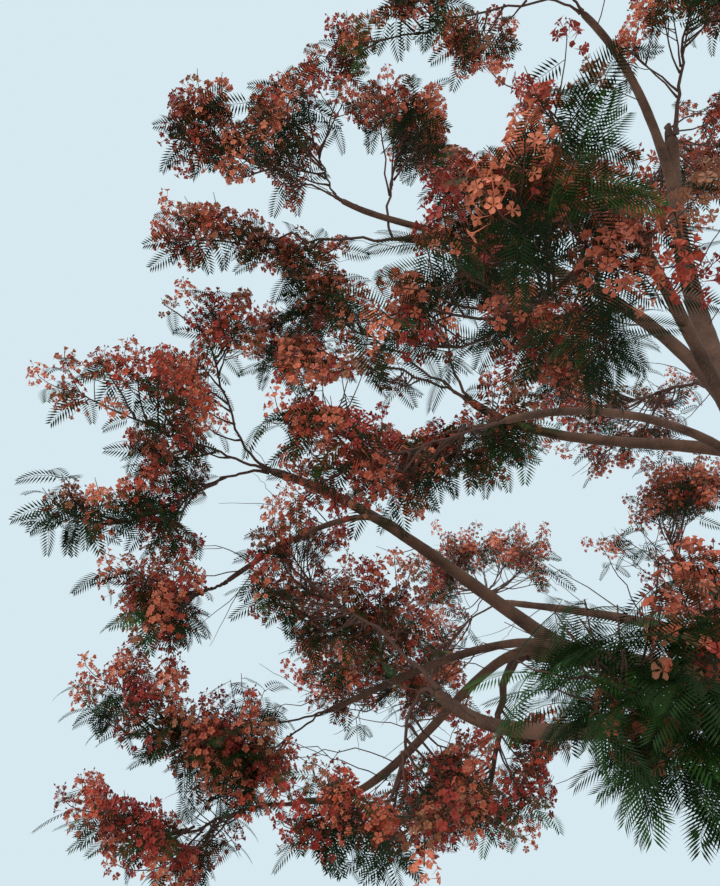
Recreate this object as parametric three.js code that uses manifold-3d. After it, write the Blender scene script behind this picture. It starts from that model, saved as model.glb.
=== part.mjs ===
// A flame tree in full bloom, rooted in level ground: a leaning trunk with a flared foot, forking
// boughs, and masses of blossom and feathery leaves held out on them like a wide umbrella.
// Millimetres, +Z up. The origin is the middle of the flat cut under the trunk.
// Bearings are degrees clockwise from +Y, seen from above. Rises are degrees above level.
import * as THREE from "three";
import { mergeVertices } from "three/addons/utils/BufferGeometryUtils.js";
import Module from "manifold-3d";

const wasm = await Module();
wasm.setup();

// Clearance that touching pieces keep, and how far corners go out for the flats between to go out by one
const GAP = 0.35;
const CORNER = 1.2;

// The trunk: its lean and height, its girth, the lobes of its foot, and the levels it is modelled at
const TRUNK = {
  bend: [new THREE.Vector3(-30, -10, 900), new THREE.Vector3(-225, -165, 1900)],
  top: new THREE.Vector3(-258, -182, 2850),
  fork: new THREE.Vector3(-240, -170, 2650),
  footRadius: 330,
  waistRadius: 275,
  waistShare: 0.55,
  forkRadius: 315,
  dome: 0.45,
  lobes: 5,
  lobeReach: 265,
  lobeHeight: 330,
  lobeSharpness: 1.5,
  lobeFloor: 0.25,
  sides: 20,
  levels: [0, 0.02, 0.06, 0.13, 0.24, 0.4, 0.6, 0.78, 0.9, 0.97, 1],
};

// Each bough: what carries it and how far along, where its tip is as [bearing, reach from the trunk's
// foot, height], how it runs as [rise at its root, rise at its tip, swing to one side], and its two radii
const BOUGHS = {
  leader: ["trunk", 1, [206, 1350, 9500], [55, 50, 15], [160, 72]],
  left_fork: ["trunk", 1, [304, 2950, 4250], [55, 15, 0], [140, 90]],
  low_left: ["trunk", 1, [272, 3650, 3400], [75, 50, 5], [105, 52]],
  near_low: ["trunk", 0.93, [226, 3600, 2800], [50, 10, 0], [72, 38]],
  back: ["trunk", 0.94, [12, 4500, 5500], [60, 25, -12], [125, 58]],
  right: ["trunk", 0.97, [98, 4500, 5400], [62, 22, 12], [130, 55]],
  front: ["trunk", 0.9, [178, 4300, 4900], [58, 18, -14], [110, 52]],
  high_arm: ["leader", 0.9, [219, 2700, 10600], [50, 10, -15], [58, 40]],
  mid_left: ["leader", 0.4, [271, 3100, 6500], [35, 40, 25], [65, 46]],
  inner_left: ["leader", 0.36, [250, 3250, 5350], [45, -20, -10], [46, 32]],
  upper_left: ["leader", 0.44, [256, 3950, 7950], [80, 5, -15], [72, 46]],
  near_high: ["leader", 0.2, [220, 3600, 5750], [50, 10, 0], [66, 42]],
  back_high: ["leader", 0.5, [20, 2300, 8500], [40, 45, 10], [76, 48]],
  right_high: ["leader", 0.3, [108, 2700, 7700], [45, 40, -12], [82, 50]],
  left: ["left_fork", 0.84, [279, 5400, 6100], [35, 10, 5], [80, 48]],
  left_low: ["left_fork", 0.76, [292, 5000, 3700], [30, -10, -20], [48, 32]],
  left_sag: ["left_fork", 0.88, [294, 5200, 2850], [35, 5, 5], [56, 36]],
  left_fall: ["left", 0.55, [281, 5850, 4850], [50, -25, -30], [36, 26]],
  upper_rise: ["upper_left", 0.8, [256, 4650, 8400], [45, 20, 15], [42, 32]],
  back_left: ["back", 0.45, [334, 4700, 5900], [40, 20, 14], [76, 46]],
  back_right: ["right", 0.4, [54, 4800, 6000], [45, 20, -16], [80, 48]],
  front_right: ["right", 0.52, [136, 4900, 5700], [35, 20, 16], [74, 46]],
};

// Each mass of foliage: the bough whose tip carries it, where its stem ends as [bearing, reach, height],
// how far its sprays spread from that stem, and the share of its twigs that bear bloom
const MASSES = {
  top_left: ["high_arm", [243.5, 4900, 9700], 720, 1],
  top_mid: ["high_arm", [214, 4100, 10500], 800, 0.9],
  top_right: ["leader", [192, 2350, 10500], 1100, 0.9],
  crown_mid: ["leader", [0, 300, 10300], 1400, 0.9],
  upper_tip: ["upper_rise", [252.5, 6200, 8400], 680, 1],
  upper_crest: ["upper_rise", [252, 5100, 8900], 920, 0.9],
  upper_back: ["upper_left", [251, 3950, 9500], 1000, 0.8],
  upper_finger: ["upper_left", [261, 6350, 7900], 560, 1],
  mid_hang: ["mid_left", [267, 4900, 7600], 700, 0.8],
  mid_tip: ["mid_left", [273, 5200, 7300], 800, 0.8],
  mid_crest: ["mid_left", [262, 3500, 7650], 960, 0.7],
  inner_bloom: ["inner_left", [258, 4600, 5000], 900, 1],
  inner_under: ["inner_left", [273, 3300, 6100], 1000, 0.7],
  left_tip: ["left", [266.5, 6750, 6000], 840, 1],
  left_crest: ["left", [266, 6100, 7200], 820, 1],
  left_skirt: ["left", [271, 6850, 5000], 740, 0.5],
  fall_tip: ["left_fall", [278.5, 6400, 4650], 900, 0.8],
  low_tip: ["left_low", [284, 6900, 3400], 900, 0.8],
  low_skirt: ["left_low", [287, 6000, 3050], 960, 0.8],
  sag_tip: ["left_sag", [286, 7000, 2450], 940, 0.8],
  fork_bloom: ["left_fork", [312, 4000, 2750], 1050, 0.8],
  under_left: ["low_left", [283, 5100, 4750], 1150, 0.9],
  under_mid: ["low_left", [283, 4200, 2350], 1000, 0.8],
  near_crest: ["near_high", [224, 4250, 6350], 1000, 1],
  near_leaves: ["near_high", [227, 4750, 4500], 1020, 0.45],
  near_skirt: ["near_low", [224.8, 4200, 2400], 680, 0.3],
  crown_back: ["back_high", [356, 3300, 8850], 1680, 0.9],
  crown_back_right: ["right_high", [80, 4600, 8500], 1850, 0.9],
  crown_front_right: ["right_high", [155, 4200, 8200], 1850, 0.9],
  back_tip: ["back", [24, 6500, 6000], 1600, 0.9],
  back_crest: ["back", [10, 4700, 7300], 1500, 0.9],
  back_left_tip: ["back_left", [343, 6700, 7000], 1450, 0.9],
  back_left_skirt: ["back_left", [317, 6000, 4500], 1350, 0.8],
  right_tip: ["right", [97, 6600, 5600], 1700, 0.8],
  back_right_tip: ["back_right", [60, 6500, 6300], 1700, 0.9],
  front_tip: ["front", [184, 5800, 5300], 1700, 0.8],
  front_right_tip: ["front_right", [138, 6500, 5800], 1750, 0.8],
};

// Stems: the share that is bare of twigs, the share of the last twig, how the twigs crowd outwards,
// how far the stem keeps its bough's heading and how level it ends, and its girth on the bough's tip
const STEM = {
  bare: 0.3,
  last: 0.97,
  crowding: 0.8,
  pull: 0.8,
  level: 0.4,
  sides: 3,
  rings: 4,
  tipRadius: 9,
  faceShare: 0.36,
  faceOffset: 0.52,
  loneShare: 0.62,
};

// Twigs: their girth, how they lean forward, flatten and lift, and how many a stem bears
const TWIG = {
  radius: 14,
  tipRadius: 8,
  forward: 0.7,
  flat: 0.62,
  lift: 0.24,
  sway: 40,
  shortest: 200,
  perMetre: 3.2,
  least: 2,
  tries: 8,
};

// Sprays, one to a twig: a star of feather leaves round a mound of bloom, in shares of its reach
const SPRAY = {
  least: 300,
  ofSpread: 0.34,
  leaves: 5,
  leafLength: 0.75,
  notch: 0.4,
  droop: 0.3,
  bloom: 0.42,
  leafy: 0.12,
  under: 0.12,
};

// The turn from one twig to the next, and the step along the stem as a share of it
const GOLDEN_ANGLE = 137.5;
const GOLDEN_SHARE = 0.618;

const UP = new THREE.Vector3(0, 0, 1);
const radians = THREE.MathUtils.degToRad;

function heading(bearing, rise) {
  const [b, e] = [radians(bearing), radians(rise)];
  return new THREE.Vector3(Math.sin(b) * Math.cos(e), Math.cos(b) * Math.cos(e), Math.sin(e));
}

function place([bearing, reach, height]) {
  return heading(bearing, 0).multiplyScalar(reach).setZ(height);
}

// The same numbers in the same order each time, from 0 to 1
function seeded(seed) {
  return () => (seed = (seed * 16807) % 2147483647) / 2147483647;
}

// Solids from closed geometry and back
function solid(geometry) {
  geometry.deleteAttribute("normal");
  geometry.deleteAttribute("uv");
  const merged = mergeVertices(geometry);
  return new wasm.Manifold(
    new wasm.Mesh({
      numProp: 3,
      vertProperties: merged.attributes.position.array,
      triVerts: new Uint32Array(merged.index.array),
    }),
  );
}

function geometryOf(made) {
  const { vertProperties, triVerts } = made.getMesh();
  const geometry = new THREE.BufferGeometry();
  geometry.setAttribute("position", new THREE.BufferAttribute(vertProperties, 3));
  return geometry.setIndex(new THREE.BufferAttribute(triVerts, 1));
}

function largest(made) {
  return made.decompose().reduce((best, body) => (body.volume() > best.volume() ? body : best));
}

// Whether two boxes come within reach of each other
function near(a, b, reach) {
  return [0, 1, 2].every((i) => a.min[i] - reach < b.max[i] && b.min[i] - reach < a.max[i]);
}

function isClear(piece, others) {
  const box = piece.boundingBox();
  return others.every(
    (other) => !near(box, other.boundingBox(), GAP) || piece.minGap(other, 2 * GAP) >= 0.9 * GAP,
  );
}

// A tapering tube: a cylinder of unit size bent along a curve, its end faces square to it. With some
// extra it is that much bigger all round.
function tube(curve, sides, rings, rootRadius, tipRadius, extra = 0) {
  const { tangents, normals } = curve.computeFrenetFrames(rings);
  const bent = new THREE.CylinderGeometry(1, 1, 1, sides, rings);
  const points = bent.attributes.position;
  for (let i = 0; i < points.count; i++) {
    const ring = Math.round((points.getY(i) + 0.5) * rings);
    const radius = THREE.MathUtils.lerp(rootRadius, tipRadius, ring / rings) + CORNER * extra;
    const beyond = ring === rings ? extra : ring === 0 ? -extra : 0;
    const across = normals[ring].clone().cross(tangents[ring]);
    const point = curve
      .getPointAt(ring / rings)
      .addScaledVector(tangents[ring], beyond)
      .addScaledVector(normals[ring], points.getX(i) * radius)
      .addScaledVector(across, points.getZ(i) * radius);
    points.setXYZ(i, point.x, point.y, point.z);
  }
  return solid(bent);
}

// The trunk: level rings round a leaning axis, with lobes that run out into the ground at its foot
const trunkAxis = new THREE.CubicBezierCurve3(
  new THREE.Vector3(0, 0, 0),
  ...TRUNK.bend,
  TRUNK.top,
);

function trunkRadius(height, angle) {
  const fork = TRUNK.fork.z;
  const waist = THREE.MathUtils.smoothstep(height, 0, TRUNK.waistShare * fork);
  const swell = THREE.MathUtils.smoothstep(height, TRUNK.waistShare * fork, fork);
  const above = Math.max(0, height - fork) / (TRUNK.top.z - fork);
  const body = THREE.MathUtils.lerp(TRUNK.footRadius, TRUNK.waistRadius, waist);
  const lobe = (0.5 + 0.5 * Math.cos(TRUNK.lobes * angle)) ** TRUNK.lobeSharpness;
  const foot = Math.exp(-height / TRUNK.lobeHeight) * TRUNK.lobeReach;
  const flare = foot * THREE.MathUtils.lerp(TRUNK.lobeFloor, 1, lobe);
  return (body + swell * (TRUNK.forkRadius - TRUNK.waistRadius)) * (1 - TRUNK.dome * above ** 2) + flare;
}

function trunk(extra) {
  const levels = TRUNK.levels.length - 1;
  const bent = new THREE.CylinderGeometry(1, 1, 1, TRUNK.sides, levels);
  const points = bent.attributes.position;
  for (let i = 0; i < points.count; i++) {
    const share = TRUNK.levels[Math.round((points.getY(i) + 0.5) * levels)];
    const [x, z] = [points.getX(i), points.getZ(i)];
    const axis = trunkAxis.getPoint(share);
    const turn = Math.atan2(z, x);
    const out = Math.hypot(x, z) * (trunkRadius(axis.z, turn) + CORNER * extra);
    const height = axis.z + (share === 1 ? extra : 0);
    points.setXYZ(i, axis.x + out * Math.cos(turn), axis.y - out * Math.sin(turn), height);
  }
  return solid(bent);
}

// A bough's centre line from its root on what carries it to its own tip
function boughLine(from, to, [rise, level, swing]) {
  const span = to.clone().sub(from);
  const bearing = THREE.MathUtils.radToDeg(Math.atan2(span.x, span.y));
  const pull = span.length() / 3;
  return new THREE.CubicBezierCurve3(
    from,
    from.clone().addScaledVector(heading(bearing + swing, rise), pull),
    to.clone().addScaledVector(heading(bearing - swing, level), -pull),
    to,
  );
}

// Boughs: each is cut clear of the trunk and of every bough before it that it touches
function makeBoughs() {
  const made = { trunk: { part: trunk(0), around: trunk(GAP) } };
  for (const [name, [carrier, share, tip, run, [rootRadius, tipRadius]]] of Object.entries(BOUGHS)) {
    const from =
      carrier === "trunk" ? TRUNK.fork.clone().multiplyScalar(share) : made[carrier].line.getPoint(share);
    const line = boughLine(from, place(tip), run);
    const sides = rootRadius > 70 ? 7 : 5;
    const build = (extra) => tube(line, sides, 6, rootRadius, tipRadius, extra);
    let part = build(0);
    for (const other of Object.values(made))
      if (near(part.boundingBox(), other.around.boundingBox(), 0)) part = part.subtract(other.around);
    made[name] = { part: largest(part), around: build(GAP), line, tipRadius };
  }
  return made;
}

const boughs = makeBoughs();

// A stem's root on its bough's flat tip: stems that share a tip stand in a ring on it
function stemRoot(name) {
  const [bough] = MASSES[name];
  const { line, tipRadius } = boughs[bough];
  const ahead = line.getTangentAt(1);
  const side = new THREE.Vector3().crossVectors(ahead, UP).normalize();
  const top = new THREE.Vector3().crossVectors(side, ahead);
  const turnTo = (mass) => {
    const span = place(MASSES[mass][1]).sub(line.getPoint(1));
    return Math.atan2(span.dot(top), span.dot(side));
  };
  const sharing = Object.keys(MASSES).filter((mass) => MASSES[mass][0] === bough);
  sharing.sort((a, b) => turnTo(a) - turnTo(b));
  const alone = sharing.length === 1;
  const turn = turnTo(sharing[0]) + (2 * Math.PI * sharing.indexOf(name)) / sharing.length;
  const off = alone ? 0 : STEM.faceOffset * tipRadius;
  const root = line.getPoint(1).addScaledVector(ahead, GAP);
  root.addScaledVector(side, off * Math.cos(turn)).addScaledVector(top, off * Math.sin(turn));
  return { root, ahead, radius: tipRadius * (alone ? STEM.loneShare : STEM.faceShare) };
}

// A stem runs on from its bough and levels out towards its far end, cut clear of boughs in its way
function makeStem(name) {
  const { root, ahead, radius } = stemRoot(name);
  const end = place(MASSES[name][1]);
  const span = end.clone().sub(root);
  const level = span.clone().setZ(STEM.level * span.z);
  const line = new THREE.CubicBezierCurve3(
    root,
    root.clone().addScaledVector(ahead, (STEM.pull * span.length()) / 3),
    end.clone().addScaledVector(level, -1 / 3),
    end,
  );
  let part = tube(line, STEM.sides, STEM.rings, radius, STEM.tipRadius);
  for (const other of Object.values(boughs))
    if (!isClear(part, [other.part])) part = part.subtract(other.around);
  return { part: largest(part), line, length: span.length(), samples: line.getPoints(8).slice(1) };
}

const stems = Object.fromEntries(Object.keys(MASSES).map((name) => [name, makeStem(name)]));

function distanceTo(point, name) {
  return Math.min(...stems[name].samples.map((sample) => sample.distanceTo(point)));
}

// Whether a place is in a mass's own space: no other stem is nearer
function isOwn(point, name) {
  const own = distanceTo(point, name);
  return Object.keys(stems).every((other) => other === name || distanceTo(point, other) > own);
}

// A spray: a star-shaped rim of leaf tips that droop, under a mound that is high where it is in bloom
function spray(centre, reach, inBloom, random) {
  const star = new THREE.SphereGeometry(1, 2 * SPRAY.leaves, 2).rotateX(Math.PI / 2);
  const turn = 2 * Math.PI * random();
  const rim = Array.from({ length: 2 * SPRAY.leaves }, (_, k) => {
    if (k % 2) return { out: SPRAY.notch, down: 0 };
    return { out: SPRAY.leafLength + 0.4 * random(), down: SPRAY.droop * (0.4 + random()) };
  });
  const points = star.attributes.position;
  for (let i = 0; i < points.count; i++) {
    const pole = points.getZ(i);
    const angle = Math.atan2(points.getY(i), points.getX(i));
    const { out, down } = rim[Math.round((angle * SPRAY.leaves) / Math.PI + rim.length) % rim.length];
    if (Math.abs(pole) < 0.5)
      points.setXYZ(i, out * Math.cos(angle + turn), out * Math.sin(angle + turn), -down);
    else points.setXYZ(i, 0, 0, pole < 0 ? -SPRAY.under : inBloom ? SPRAY.bloom : SPRAY.leafy);
  }
  star.scale(reach, reach, reach).translate(centre.x, centre.y, centre.z);
  return solid(star);
}

// A twig leaves the stem sideways and its tip turns up into its spray
function makeTwig(name, index, share, random) {
  const { line } = stems[name];
  const [, , spread, bloom] = MASSES[name];
  const size = (SPRAY.least + SPRAY.ofSpread * spread) * (0.85 + 0.3 * random());
  const root = line.getPoint(share);
  const ahead = line.getTangent(share);
  const side = new THREE.Vector3().crossVectors(ahead, UP).normalize();
  const top = new THREE.Vector3().crossVectors(side, ahead);
  const turn = radians(GOLDEN_ANGLE * index + TWIG.sway * random());
  const out = ahead.clone().multiplyScalar(TWIG.forward);
  out.addScaledVector(side, Math.cos(turn)).addScaledVector(top, TWIG.flat * Math.sin(turn));
  const reach = Math.max(TWIG.shortest, (spread - 0.5 * size) * (0.75 + 0.5 * random()));
  const tip = root.clone().add(out.setLength(reach)).addScaledVector(UP, TWIG.lift * reach);
  const twig = tube(new THREE.LineCurve3(root, tip), 3, 1, TWIG.radius, TWIG.tipRadius);
  return { twig, tip, spray: spray(tip, size, random() < bloom, random) };
}

// A mass: its stem, and the twigs round it by the golden angle with their sprays, joined.
// A twig that leaves the mass's space, or touches a neighbour or a spray before it, is left out.
function makeMass(name, number, neighbours) {
  const random = seeded(1009 * number + 17);
  const { part, line, length } = stems[name];
  const [twigs, sprays] = [[], [spray(line.getPoint(1), SPRAY.least, true, random)]];
  const metres = Math.sqrt(length * MASSES[name][2]) / 1000;
  const count = Math.round(TWIG.least + TWIG.perMetre * metres);
  for (let k = 0; k < TWIG.tries * count && twigs.length < count; k++) {
    const share = THREE.MathUtils.lerp(STEM.bare, STEM.last, ((k * GOLDEN_SHARE) % 1) ** STEM.crowding);
    const made = makeTwig(name, k, share, random);
    if (!isOwn(made.tip, name) || !isClear(made.spray, [...sprays, ...neighbours])) continue;
    if (!isClear(made.twig, [...sprays, ...neighbours])) continue;
    twigs.push(made.twig);
    sprays.push(made.spray);
  }
  return largest(wasm.Manifold.union([part, ...twigs, ...sprays]));
}

// The whole tree, one named mesh for each piece
const tree = new THREE.Group();

function addPart(name, made, color, roughness) {
  const material = new THREE.MeshStandardMaterial({ color, roughness, metalness: 0 });
  const mesh = new THREE.Mesh(geometryOf(made), material);
  mesh.name = name;
  tree.add(mesh);
}

for (const [name, { part }] of Object.entries(boughs)) addPart(name, part, 0x5a3a2a, 0.9);

const finished = Object.values(boughs).map(({ part }) => part);
Object.keys(MASSES).forEach((name, number) => {
  const others = Object.keys(MASSES).filter((other) => other !== name);
  const waiting = others.slice(number).map((other) => stems[other].part);
  const made = makeMass(name, number, [...finished, ...waiting]);
  finished.push(made);
  addPart(name, made, MASSES[name][3] > 0.5 ? 0xa8452f : 0x2c4a1c, 0.7);
});

export default tree;
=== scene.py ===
import math

import bmesh
import bpy
import numpy as np
from mathutils import Matrix, Vector, noise


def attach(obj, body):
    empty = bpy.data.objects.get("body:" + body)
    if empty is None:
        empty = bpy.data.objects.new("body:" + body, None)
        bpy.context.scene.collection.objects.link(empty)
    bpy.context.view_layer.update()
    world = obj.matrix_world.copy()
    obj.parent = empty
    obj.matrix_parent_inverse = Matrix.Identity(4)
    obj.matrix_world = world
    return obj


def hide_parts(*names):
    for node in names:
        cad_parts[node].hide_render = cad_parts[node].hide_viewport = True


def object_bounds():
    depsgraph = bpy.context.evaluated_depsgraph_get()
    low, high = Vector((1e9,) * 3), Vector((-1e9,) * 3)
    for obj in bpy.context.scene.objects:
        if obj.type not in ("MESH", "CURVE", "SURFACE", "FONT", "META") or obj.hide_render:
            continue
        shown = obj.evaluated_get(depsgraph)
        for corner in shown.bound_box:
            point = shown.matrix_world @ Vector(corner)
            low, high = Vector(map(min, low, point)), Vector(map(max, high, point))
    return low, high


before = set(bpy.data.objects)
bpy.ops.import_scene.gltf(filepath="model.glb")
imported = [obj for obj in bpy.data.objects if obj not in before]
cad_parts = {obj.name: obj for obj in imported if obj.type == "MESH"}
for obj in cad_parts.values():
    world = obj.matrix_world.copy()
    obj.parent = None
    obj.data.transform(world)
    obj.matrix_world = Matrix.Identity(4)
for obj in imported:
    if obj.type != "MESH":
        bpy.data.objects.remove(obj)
cad_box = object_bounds()

# A flame tree in full bloom. Metres, +Z up, the origin at the middle of the trunk's foot.
# Bearings are degrees clockwise from +Y, seen from above. Rises are degrees above level.
UP = np.array([0.0, 0.0, 1.0])

# The trunk's fork, line and radii, the lobes of its foot and the shallow folds that run up from them
FORK = np.array([-0.24, -0.17, 2.65])
TRUNK_LINE = np.array([[0, 0, 0], [-0.03, -0.01, 0.9], [-0.225, -0.165, 1.9], [-0.258, -0.182, 2.85]])
TRUNK_RADII = {"foot": 0.33, "waist": 0.275, "fork": 0.315}
WAIST_HEIGHT = 0.55 * FORK[2]
TOP_NARROWS = 0.6
LOBES = {"count": 5, "reach": 0.265, "height": 0.33, "between": 0.25, "sharp": 1.5}
FOLDS = {"depth": 0.012, "twist": 1.5, "height": 1.4}

# The collar where a bough springs and its rounded tip, in its radii, and the ripples of trunk and
# boughs, coarse and fine, as (how many to a metre, depth). A bough's depths are shares of its radius.
COLLAR = {"swell": 0.5, "reach": 2.6}
ROUND_TIP = {"length": 1.6, "narrows": 0.75}
RIPPLES = {"trunk": ((3.0, 0.02), (11, 0.007)), "bough": ((5.0, 0.09), (16, 0.05))}

# How finely trunk and boughs are drawn. A bough with a root radius over "stout" has the more sides.
TRUNK_MESH = {"rings": 72, "sides": 64}
BOUGH_MESH = {"ring_step": 0.07, "sides": 20, "thin_sides": 14, "stout": 0.07}

# Each bough: its carrier and how far along, its tip as (bearing, reach, height), its run as
# (rise at its root, rise at its tip, swing), and its radii at root and tip
BOUGHS = {
    "leader": ("trunk", 1, (206, 1.35, 9.5), (55, 50, 15), (0.16, 0.072)),
    "left_fork": ("trunk", 1, (304, 2.95, 4.25), (55, 15, 0), (0.14, 0.09)),
    "low_left": ("trunk", 1, (272, 3.65, 3.4), (75, 50, 5), (0.105, 0.052)),
    "near_low": ("trunk", 0.93, (226, 3.6, 2.8), (50, 10, 0), (0.072, 0.038)),
    "back": ("trunk", 0.94, (12, 4.5, 5.5), (60, 25, -12), (0.125, 0.058)),
    "right": ("trunk", 0.97, (98, 4.5, 5.4), (62, 22, 12), (0.13, 0.055)),
    "front": ("trunk", 0.9, (178, 4.3, 4.9), (58, 18, -14), (0.11, 0.052)),
    "high_arm": ("leader", 0.9, (219, 2.7, 10.6), (50, 10, -15), (0.058, 0.04)),
    "mid_left": ("leader", 0.4, (271, 3.1, 6.5), (35, 40, 25), (0.065, 0.046)),
    "inner_left": ("leader", 0.36, (250, 3.25, 5.35), (45, -20, -10), (0.046, 0.032)),
    "upper_left": ("leader", 0.44, (256, 3.95, 7.95), (80, 5, -15), (0.072, 0.046)),
    "near_high": ("leader", 0.2, (220, 3.6, 5.75), (50, 10, 0), (0.066, 0.042)),
    "back_high": ("leader", 0.5, (20, 2.3, 8.5), (40, 45, 10), (0.076, 0.048)),
    "right_high": ("leader", 0.3, (108, 2.7, 7.7), (45, 40, -12), (0.082, 0.05)),
    "left": ("left_fork", 0.84, (279, 5.4, 6.1), (35, 10, 5), (0.08, 0.048)),
    "left_low": ("left_fork", 0.76, (292, 5.0, 3.7), (30, -10, -20), (0.048, 0.032)),
    "left_sag": ("left_fork", 0.88, (294, 5.2, 2.85), (35, 5, 5), (0.056, 0.036)),
    "left_fall": ("left", 0.55, (281, 5.85, 4.85), (50, -25, -30), (0.036, 0.026)),
    "upper_rise": ("upper_left", 0.8, (256, 4.65, 8.4), (45, 20, 15), (0.042, 0.032)),
    "back_left": ("back", 0.45, (334, 4.7, 5.9), (40, 20, 14), (0.076, 0.046)),
    "back_right": ("right", 0.4, (54, 4.8, 6.0), (45, 20, -16), (0.08, 0.048)),
    "front_right": ("right", 0.52, (136, 4.9, 5.7), (35, 20, 16), (0.074, 0.046)),
}

# Each mass of foliage: its bough, the end of its stem as (bearing, reach, height), how far its
# sprays spread from the stem, and the share of its twigs in bloom
MASSES = {
    "top_left": ("high_arm", (243.5, 4.9, 9.7), 0.72, 1),
    "top_mid": ("high_arm", (214, 4.1, 10.5), 0.8, 0.9),
    "top_right": ("leader", (192, 2.35, 10.5), 1.1, 0.9),
    "crown_mid": ("leader", (0, 0.3, 10.3), 1.4, 0.9),
    "upper_tip": ("upper_rise", (252.5, 6.2, 8.4), 0.68, 1),
    "upper_crest": ("upper_rise", (252, 5.1, 8.9), 0.92, 0.9),
    "upper_back": ("upper_left", (251, 3.95, 9.5), 1, 0.8),
    "upper_finger": ("upper_left", (261, 6.35, 7.9), 0.56, 1),
    "mid_hang": ("mid_left", (267, 4.9, 7.6), 0.7, 0.8),
    "mid_tip": ("mid_left", (273, 5.2, 7.3), 0.8, 0.8),
    "mid_crest": ("mid_left", (262, 3.5, 7.65), 0.96, 0.7),
    "inner_bloom": ("inner_left", (258, 4.6, 5), 0.9, 1),
    "inner_under": ("inner_left", (273, 3.3, 6.1), 1, 0.7),
    "left_tip": ("left", (266.5, 6.75, 6), 0.84, 1),
    "left_crest": ("left", (266, 6.1, 7.2), 0.82, 1),
    "left_skirt": ("left", (271, 6.85, 5), 0.74, 0.5),
    "fall_tip": ("left_fall", (278.5, 6.4, 4.65), 0.9, 0.8),
    "low_tip": ("left_low", (284, 6.9, 3.4), 0.9, 0.8),
    "low_skirt": ("left_low", (287, 6, 3.05), 0.96, 0.8),
    "sag_tip": ("left_sag", (286, 7, 2.45), 0.94, 0.8),
    "fork_bloom": ("left_fork", (312, 4, 2.75), 1.05, 0.8),
    "under_left": ("low_left", (283, 5.1, 4.75), 1.15, 0.9),
    "under_mid": ("low_left", (283, 4.2, 2.35), 1, 0.8),
    "near_crest": ("near_high", (224, 4.25, 6.35), 1, 1),
    "near_leaves": ("near_high", (227, 4.75, 4.5), 1.02, 0.45),
    "near_skirt": ("near_low", (224.8, 4.2, 2.4), 0.68, 0.3),
    "crown_back": ("back_high", (356, 3.3, 8.85), 1.68, 0.9),
    "crown_back_right": ("right_high", (80, 4.6, 8.5), 1.85, 0.9),
    "crown_front_right": ("right_high", (155, 4.2, 8.2), 1.85, 0.9),
    "back_tip": ("back", (24, 6.5, 6), 1.6, 0.9),
    "back_crest": ("back", (10, 4.7, 7.3), 1.5, 0.9),
    "back_left_tip": ("back_left", (343, 6.7, 7), 1.45, 0.9),
    "back_left_skirt": ("back_left", (317, 6, 4.5), 1.35, 0.8),
    "right_tip": ("right", (97, 6.6, 5.6), 1.7, 0.8),
    "back_right_tip": ("back_right", (60, 6.5, 6.3), 1.7, 0.9),
    "front_tip": ("front", (184, 5.8, 5.3), 1.7, 0.8),
    "front_right_tip": ("front_right", (138, 6.5, 5.8), 1.75, 0.8),
}

# How stems and twigs grow, as in the solids. Here and below, what grows is at least the share "size"
# of its full size, and up to "size_varies" more.
STEM = {"bare": 0.3, "last": 0.97, "crowding": 0.8, "pull": 0.8, "level": 0.4, "tip_radius": 0.009,
        "face_share": 0.36, "lone_share": 0.62, "off": 0.52, "samples": 8}
TWIG = {"forward": 0.7, "flat": 0.62, "lift": 0.24, "sway": 40, "shortest": 0.2, "per_metre": 3.2, "least": 2,
        "size": 0.75, "size_varies": 0.5}
SPRAY = {"least": 0.3, "of_spread": 0.34, "draws": 11, "size": 0.85, "size_varies": 0.3}
GOLDEN_ANGLE = 137.5
GOLDEN_SHARE = 0.618

# How the scene carries them on to finer twigs. It has more primary twigs than the source has sprays:
# "more" times as many, "low_more" on masses below "low", and more again on those wider than "full".
# Side twigs stand along a primary twig from the share "first", over the share "over".
# Bare twigs arch out from the boughs, by a number to a metre of bough.
FINE = {"more": 1.9, "low_more": 2.5, "low": 5.2, "full": 0.9, "wide": 1.1, "tries": 14}
PRIMARY = {"sag": 0.05, "wander": 0.1}
SIDE = {"count": 5, "reach": 0.66, "first": 0.5, "over": 0.46, "forward": 0.6, "flat": 0.7, "lift": 0.3,
        "sag": 0.06, "stagger": 0.6, "size": 0.7, "size_varies": 0.5}
BARE = {"per_metre": 0.9, "low_per_metre": 3.2, "low": 5.0, "length": 1.1, "first": 0.3, "over": 0.65,
        "forward": 0.6, "lift": 0.1, "climb": 0.7, "size": 0.5, "end_flat": 0.1, "end_rise": (-0.7, 0.9),
        "forked": 0.7, "fork_at": 0.45, "fork_forward": 0.5, "fork_size": 0.5, "fork_bend": 0.1}
BEND = 0.55

# Each kind of twig: the rings of its tube, how these bunch towards its root, and its sides. Then the
# radii at root and tip, the swell at the root, and the wander as a share of the twig's length.
TWIG_TUBES = {"stem": (18, 1.8, 7), "primary": (7, 1.2, 5), "side": (5, 1, 3), "bare": (10, 1, 3),
              "axis": (2, 1, 3)}
TWIG_RADII = {"primary": (0.012, 0.006), "side": (0.007, 0.004), "bare": (0.008, 0.0025),
              "fork": (0.005, 0.002), "axis": (0.005, 0.003)}
TWIG_SWELL = {"stem": 0.7, "primary": 0.4, "reach": 5}
TWIG_WANDER = 0.012

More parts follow.
